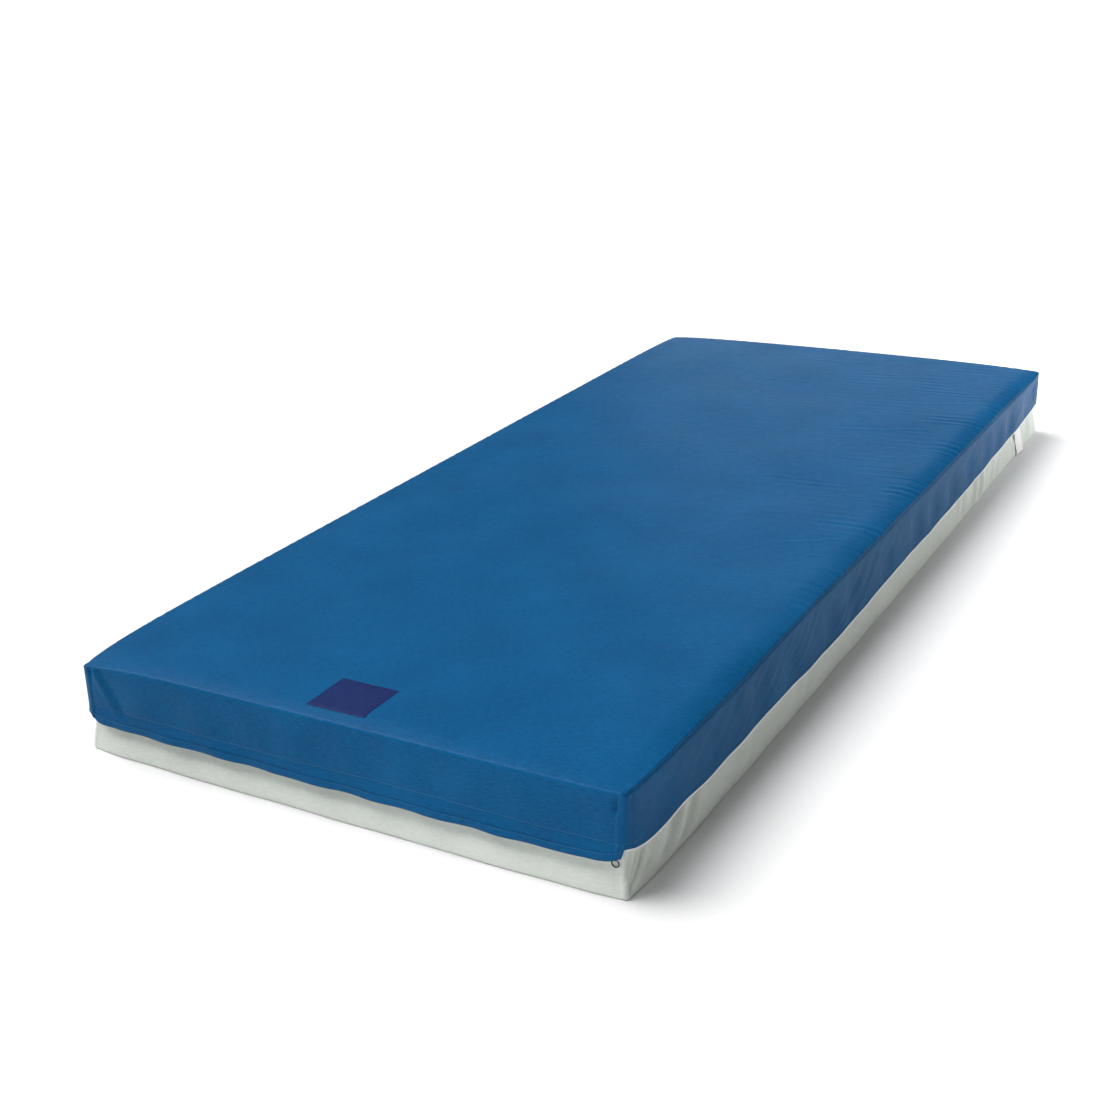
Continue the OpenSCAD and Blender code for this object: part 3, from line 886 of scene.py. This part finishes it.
def build_tapes():
    """The zip's two woven tapes. Each has a corded edge that carries its coil."""
    tape = cloth("zip_tape_weave", (0.012, 0.03, 0.07), (0.02, 0.045, 0.1), 0.7, 1.1 * MM, flat=False)
    place, _, out = zip_path(3 * MM, 1 * MM)
    corded = np.array([(0.3, 0.0), (0.75, 0.3), (0.75, 1.6), (0.3, 2.4)]) * MM
    thick = corded[-1, 0]
    low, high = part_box("lower_zip_tape")
    outer = [(w, high.z - d) for w, d in corded[::-1]]
    inner = [(-w, high.z - d) for w, d in corded]
    section = [(-thick, low.z), (thick, low.z)] + outer + inner
    lower = give(sweep("lower_tape_woven", place, out, section), tape)
    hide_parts("lower_zip_tape")
    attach(lower, "root")
    low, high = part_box("upper_zip_tape")
    outer = [(w, low.z + d) for w, d in corded]
    inner = [(-w, low.z + d) for w, d in corded[::-1]]
    ledge = HALF_L - 2 * MM - abs(place[0][1])
    turned = [(thick, high.z - 2.0 * MM), (2 * MM, high.z - 1.0 * MM), (ledge, high.z - 0.7 * MM),
              (ledge, high.z), (0.8 * MM, high.z - 0.1 * MM), (-thick, high.z - 1.4 * MM)]
    upper = give(sweep("upper_tape_woven", place, out, outer + turned + inner), tape)
    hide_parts("upper_zip_tape")
    lift_with_cover(upper)


def build_coil(name, replaced, upward, shift, made):
    """One row of the zip's coil: rounded turns at an even pitch, from the tape to the tips."""
    pitch = 2.6 * MM
    place, ahead, out = zip_path(pitch)
    place = place + ahead * shift * pitch
    low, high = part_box(replaced)
    base, tip = low.z - 0.6 * MM, high.z + 0.9 * MM
    if not upward:
        base, tip = high.z + 0.6 * MM, low.z - 0.9 * MM
    corners = circle(8, 0.5)
    stations = [(0.0, 0.8), (0.25, 1.0), (0.6, 0.85), (0.85, 1.05), (1.0, 0.6)]
    rings = [np.column_stack([corners[:, 0] * 0.62 * MM * size, corners[:, 1] * 1.0 * MM * size,
                              np.full(len(corners), base + (tip - base) * t)]) for t, size in stations]
    template, faces = stacked_rings(rings)
    points, all_faces = repeat(template, faces, place, ahead, out)
    obj = give(mesh_object(name, points, all_faces), made)
    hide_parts(replaced)
    return obj


def build_zip():
    """Tapes, coils, and the metal of the slider, its pull and the stops."""
    build_tapes()
    plastic = enamel("coil_plastic", (0.02, 0.025, 0.035), 0.4, 0.0)
    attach(build_coil("lower_coil", "lower_zip_teeth", True, 0.0, plastic), "root")
    lift_with_cover(build_coil("upper_coil", "upper_zip_teeth", False, 0.5, plastic))
    metal = enamel("black_enamel", (0.012, 0.012, 0.014), 0.35, 0.6)
    for name in ("slider_body", "pull_link", "upper_zip_stops", "lower_zip_stops"):
        give(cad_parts[name], metal)
    build_ring(metal)


def build_ring(metal):
    """The pull's smooth wire ring."""
    low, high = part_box("pull_ring")
    centre = (low + high) / 2
    wire = (high.y - low.y) / 2
    radius = (high.x - low.x) / 2 - wire
    turns, sides = 48, 12
    points = []
    for across, up in circle(turns):
        for c, e in circle(sides):
            reach = radius + wire * c
            points.append((centre.x + reach * across, centre.y + wire * e, centre.z + reach * up))
    loops = [k * sides + np.arange(sides) for k in range(turns)]
    faces = np.concatenate([ring_quads(loops[k], loops[(k + 1) % turns]) for k in range(turns)])
    obj = give(mesh_object("pull_ring_wire", points, faces), metal)
    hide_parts("pull_ring")
    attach(obj, "pull_ring")


# ---------------------------------------------------------------- label and tag
def sew_label(low, high, inset, settled):
    """The stitches round the label."""
    x0, x1, y0, y1 = low.x + inset, high.x - inset, low.y + inset, high.y - inset
    corners = [(x0, y0), (x1, y0), (x1, y1), (x0, y1), (x0, y0)]
    line = np.concatenate([np.linspace(a, b, 20) for a, b in zip(corners, corners[1:])])
    z = HEIGHT + 0.35 * MM + panel_lift(*line.T) + settled.panel(*line.T)[:, 2]
    ways = np.tile((0.0, -1.0), (len(line), 1))
    place, ahead, _ = resample(np.column_stack([line, z]), ways, 2.6 * MM)
    aside = np.stack([-ahead[:, 1], ahead[:, 0], 0 * ahead[:, 0]], -1)
    stations = [(-0.5, 0.5, -0.5), (-0.3, 1, 0.3), (0.3, 1, 0.3), (0.5, 0.5, -0.5)]
    template, faces = stitch(stations, 2 * MM, 0.16 * MM)
    points, all_faces = repeat(template[:, [0, 2, 1]], faces, place, ahead, aside)
    thread = cloth("navy_thread", (0.012, 0.016, 0.08), (0.03, 0.036, 0.13), 0.45, 0.3 * MM, flat=False)
    sewn = give(mesh_object("label_stitching", points, all_faces), thread)
    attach(sewn, "top_cover")


def build_label(settled):
    """A blank woven label, sewn flat to the panel."""
    low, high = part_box("name_label")
    count_x, count_y, inset = 57, 49, 3.5 * MM
    x, y = grid(np.linspace(low.x, high.x, count_x), np.linspace(low.y, high.y, count_y))
    edge = np.minimum(from_ends(x, low.x, high.x), from_ends(y, low.y, high.y))
    lift = panel_lift(x, y) + settled.panel(x, y)[:, 2] + 0.12 * MM * ripples(x, y, 0.03, 51)
    lift += 0.45 * MM * smooth(edge, -0.5 * MM, 2 * MM) - 0.25 * MM * bump(edge, inset, 0.9 * MM)
    obj = mesh_object("name_label_woven", np.stack([x, y, HEIGHT + lift], -1), grid_quads(count_x, count_y))
    store_flat(obj, np.stack([x, y], -1))
    dark, light = (0.004, 0.013, 0.078), (0.009, 0.026, 0.120)
    give(obj, cloth("navy_satin", dark, light, 0.5, 0.5 * MM, 0.3, specular=0.1))
    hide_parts("name_label")
    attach(obj, "top_cover")
    sew_label(low, high, inset, settled)


def build_tag():
    """A blank white tag that hangs over the grey wall and curls a little."""
    low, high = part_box("care_tag")
    count_y, count_z = 29, 25
    y, z = grid(np.linspace(low.y, high.y, count_y), np.linspace(high.z, low.z, count_z))
    down, across = (high.z - z) / (high.z - low.z), (y - low.y) / (high.y - low.y) - 0.5
    x = high.x + 1.0 * MM + 9.5 * MM * down + 1.3 * MM * np.sin(across * 5 + 1) * down
    x += 2.0 * MM * down ** 3 * (2 * across) ** 2
    points = np.stack([x, y - 2.0 * MM * across * down, z], -1)
    obj = mesh_object("care_tag_satin", points, grid_quads(count_y, count_z))
    store_flat(obj, np.stack([y, z], -1))
    white = cloth("white_satin", (0.80, 0.80, 0.79), (0.90, 0.90, 0.89), 0.5, 0.6 * MM, 0.6)
    give(obj, white)
    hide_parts("care_tag")
    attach(obj, "care_tag")


# ---------------------------------------------------------------- foam
def edge_drop(distance, r):
    """How far a rounded edge of radius r has dropped, by the way in from the edge."""
    inside = np.clip(r - distance, 0, r)
    return r - np.sqrt(r * r - inside * inside)


def round_off(r):
    """Steps across an edge that rounds off, close together where it is steep."""
    return r * (1 - np.cos(np.arange(6) * math.pi / 10))


def edge_lines(low, high, r, step):
    """Grid lines across a block: close together where its edges round off."""
    steps = round_off(r)
    middle = np.linspace(low + r, high - r, max(2, round((high - low - 2 * r) / step)) + 1)
    return np.concatenate([low + steps[:-1], middle, (high - steps[:-1])[::-1]])


def foam_block(name, replaced, lines_x, lines_y, top, bottom, colour):
    """A closed block of foam between a top and a bottom surface."""
    nx, ny = len(lines_x), len(lines_y)
    x, y = grid(lines_x, lines_y)
    ring = grid_ring(nx, ny)
    upper, lower = top(x, y), bottom(x, y)
    rows = [np.column_stack([x[ring], y[ring], upper[ring] + (lower[ring] - upper[ring]) * t])
            for t in (0.25, 0.5, 0.75)]
    points = np.concatenate([np.column_stack([x, y, upper])] + rows + [np.column_stack([x, y, lower])])
    n = len(ring)
    loops = [ring] + [nx * ny + k * n + np.arange(n) for k in range(3)] + [nx * ny + 3 * n + ring]
    faces = [grid_quads(nx, ny)] + [ring_quads(a, b) for a, b in zip(loops, loops[1:])]
    faces.append(grid_quads(nx, ny)[:, ::-1] + nx * ny + 3 * n)
    obj = mesh_object(name, points, np.concatenate(faces))
    give(obj, foam(name + "_foam", colour))
    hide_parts(replaced)
    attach(obj, "root")


def cut_lines(low, high, cell, r):
    """Grid lines for a row of cut cells, and the cuts' centres."""
    count = max(1, round((high - low) / cell))
    cuts = low + (high - low) * np.arange(1, count) / count
    shape = np.array([-6.0, -3.5, -2.2, -1.5, -1.25, -1.15, 1.15, 1.25, 1.5, 2.2, 3.5, 6.0]) * MM
    bounds = np.concatenate([[low], cuts, [high]])
    inner = [np.linspace(a, b, 6)[1:-1] for a, b in zip(bounds, bounds[1:])]
    ends = round_off(r)
    lines = np.concatenate([(cuts[:, None] + shape).ravel()] + inner + [low + ends, high - ends])
    lines = np.unique(np.round(lines, 6))
    keep = np.concatenate([[True], np.diff(lines) > 0.05 * MM])
    return lines[keep], cuts


def build_cells(zone, cell, colour):
    """One zone of the top layer: cells that deep cuts part, each with a crowned top."""
    replaced = zone + "_zone_foam"
    low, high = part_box(replaced)
    r, cut_depth, crown = 5 * MM, 22 * MM, 1.5 * MM
    lines_x, cuts_x = cut_lines(low.x, high.x, cell, r)
    lines_y, cuts_y = cut_lines(low.y, high.y, cell, r)

    def top(x, y):
        depth, rounded, dome = 0 * x, 0 * x, 1.0
        for p, cuts, a, b in ((x, cuts_x, low.x, high.x), (y, cuts_y, low.y, high.y)):
            away = np.abs(p[:, None] - cuts[None]).min(axis=1)
            depth = np.maximum(depth, np.where(away < 1.2 * MM, cut_depth, 0))
            rounded = rounded + 2.2 * MM * (1 - smooth(away, 1.1 * MM, 6 * MM)) ** 2
            rounded = rounded + edge_drop(from_ends(p, a, b), r)
            pitch = (b - a) / (len(cuts) + 1)
            dome = dome * np.cos(math.pi * (((p - a) / pitch) % 1 - 0.5))
        sunk = corner_drop(x, y) + edge_roll(x, y) * 1.1
        return high.z - crown + crown * np.abs(dome) - np.maximum(depth, rounded) - sunk

    def bottom(x, y):
        return low.z + 0 * x

    foam_block(zone + "_cells", replaced, lines_x, lines_y, top, bottom, colour)


def build_block(name, replaced, colour, top=None, bottom=None):
    """A plain layer of foam with softened edges and a slightly uneven face."""
    low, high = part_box(replaced)
    r = 3 * MM
    lines_x, lines_y = edge_lines(low.x, high.x, r, 24 * MM), edge_lines(low.y, high.y, r, 24 * MM)

    def edges(x, y):
        return edge_drop(from_ends(x, low.x, high.x), r) + edge_drop(from_ends(y, low.y, high.y), r)

    def upper(x, y):
        level = high.z if top is None else top(x, y)
        return level - np.minimum(edges(x, y), 2 * r) - 0.3 * MM - 0.3 * MM * ripples(x, y, 0.2, 61)

    def lower(x, y):
        level = low.z if bottom is None else bottom(x, y)
        return level + np.minimum(edges(x, y), 2 * r) * 0.6

    foam_block(name, replaced, lines_x, lines_y, upper, lower, colour)


def build_foam():
    """The three zones of cells, the transition layer, the heel wedge on its slope, and the rails."""
    build_cells("head", 84 * MM, (0.60, 0.70, 0.80))
    build_cells("body", 62 * MM, (0.34, 0.56, 0.78))
    build_cells("heel", 46 * MM, (0.78, 0.71, 0.46))
    build_block("transition_layer", "transition_foam", (0.80, 0.79, 0.71))
    wedge_low, wedge_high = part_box("heel_wedge")
    base_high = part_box("base_foam")[1].z

    def slope(x, y):
        down = np.clip((wedge_high.y - y) / (wedge_high.y - wedge_low.y), 0, 1)
        return base_high + (wedge_low.z - base_high) * down

    build_block("heel_ramp", "heel_wedge", (0.62, 0.42, 0.50), bottom=slope)
    build_block("base_layer", "base_foam", (0.17, 0.19, 0.22), top=slope)
    for side in ("left", "right"):
        build_block(side + "_rail", side + "_bolster", (0.11, 0.15, 0.19))


# ---------------------------------------------------------------- stage
CAMERA_AT = (1.221, -2.4235, 1.1227)
CAMERA_ANGLES = (30.8, 22.4, -2.92)  # round the object, above it, and rolled, in degrees
LENS, SENSOR = 49.5, 36.0  # millimetres


def area_light(name, size, power, place_at, aim, mirrored=False):
    """A rectangular soft light. It shows in glossy surfaces only where mirrored."""
    data = bpy.data.lights.new(name, "AREA")
    data.shape = "RECTANGLE"
    data.size, data.size_y = size
    data.energy = power
    obj = bpy.data.objects.new(name, data)
    bpy.context.scene.collection.objects.link(obj)
    obj.location = place_at
    obj.visible_camera = False
    obj.visible_glossy = mirrored
    obj.rotation_euler = (Vector(aim) - Vector(place_at)).to_track_quat("-Z", "Y").to_euler()


def sun_light(name, strength, spread, towards):
    """A wide soft light from far off."""
    data = bpy.data.lights.new(name, "SUN")
    data.energy = strength
    data.angle = math.radians(spread)
    obj = bpy.data.objects.new(name, data)
    bpy.context.scene.collection.objects.link(obj)
    obj.rotation_euler = Vector(towards).to_track_quat("-Z", "Y").to_euler()


def build_floor():
    """A wide pale floor."""
    sides, radii = 72, (2.0, 6.0, 20.0, 80.0)
    rings = [np.column_stack([r * circle(sides), np.zeros(sides)]) for r in radii]
    loops = [k * sides + np.arange(sides) for k in range(len(radii))]
    faces = [f for a, b in zip(loops, loops[1:]) for f in ring_quads(a, b).tolist()]
    floor = mesh_object("floor", np.concatenate(rings), faces + [loops[0].tolist()])
    floor.location.z = -0.2 * MM
    made, tree, shader = material("pale_floor", (0.86, 0.86, 0.86), 0.9, specular=0.0)
    tint = ramp(tree, noise(tree, coordinates(tree, False), 2.0), (0.85, 0.85, 0.85), (0.87, 0.87, 0.87))
    tree.links.new(tint, shader.inputs["Base Color"])
    give(floor, made)


def build_world():
    """Pale near the horizon and dim overhead, as in a studio."""
    world = bpy.data.worlds.new("studio")
    world.use_nodes = True
    tree = world.node_tree
    ways = node(tree, "ShaderNodeTexCoord").outputs["Generated"]
    height = node(tree, "ShaderNodeSeparateXYZ", {"Vector": ways}).outputs["Z"]
    glow = ramp(tree, height, (1, 1, 1), (0.05, 0.05, 0.05), 0.06, 0.12)
    tree.links.new(glow, tree.nodes["Background"].inputs["Color"])
    bpy.context.scene.world = world


def build_lights():
    """One wide light overhead, and soft ones at the foot, the sewn side and the head."""
    sun_light("overhead", 4.35, 50, (0.62, 0.05, -1))
    area_light("front_light", (0.4, 0.4), 3.2, (0.42, -2.1, 0.5), (0.3, -1.0, 0.05))
    area_light("side_light", (0.5, 0.4), 34, (1.25, 2.35, 0.5), (0.45, 1.1, 0.1))
    area_light("back_glow", (2.4, 0.9), 11, (-1.6, 5.5, 1.25), (0, 0.8, 0.15), mirrored=True)
    bpy.context.scene.view_settings.view_transform = "Standard"


def build_camera():
    """The camera, which stands before the foot's right corner and is rolled a little."""
    azimuth, elevation, roll = (math.radians(angle) for angle in CAMERA_ANGLES)
    level = Vector((math.sin(azimuth), -math.cos(azimuth), 0))
    back = level * math.cos(elevation) + Vector((0, 0, math.sin(elevation)))
    data = bpy.data.cameras.new("camera")
    data.lens, data.sensor_width = LENS, SENSOR
    camera = bpy.data.objects.new("camera", data)
    bpy.context.scene.collection.objects.link(camera)
    right = (-back).cross(Vector((0, 0, 1))).normalized()
    up = right.cross(-back)
    turned_right = math.cos(roll) * right + math.sin(roll) * up
    turned_up = -math.sin(roll) * right + math.cos(roll) * up
    turn = Matrix((turned_right, turned_up, back)).transposed()
    camera.matrix_world = Matrix.Translation(CAMERA_AT) @ turn.to_4x4()
    bpy.context.scene.camera = camera


build_camera()
build_floor()
build_world()
build_lights()
cover_sheet, cover_points, cover_settling = build_top_cover()
build_stitching(cover_sheet, cover_points)
build_bottom_cover()
build_side_seam(cover_sheet, cover_points)
build_zip()
build_label(cover_settling)
build_tag()
build_foam()
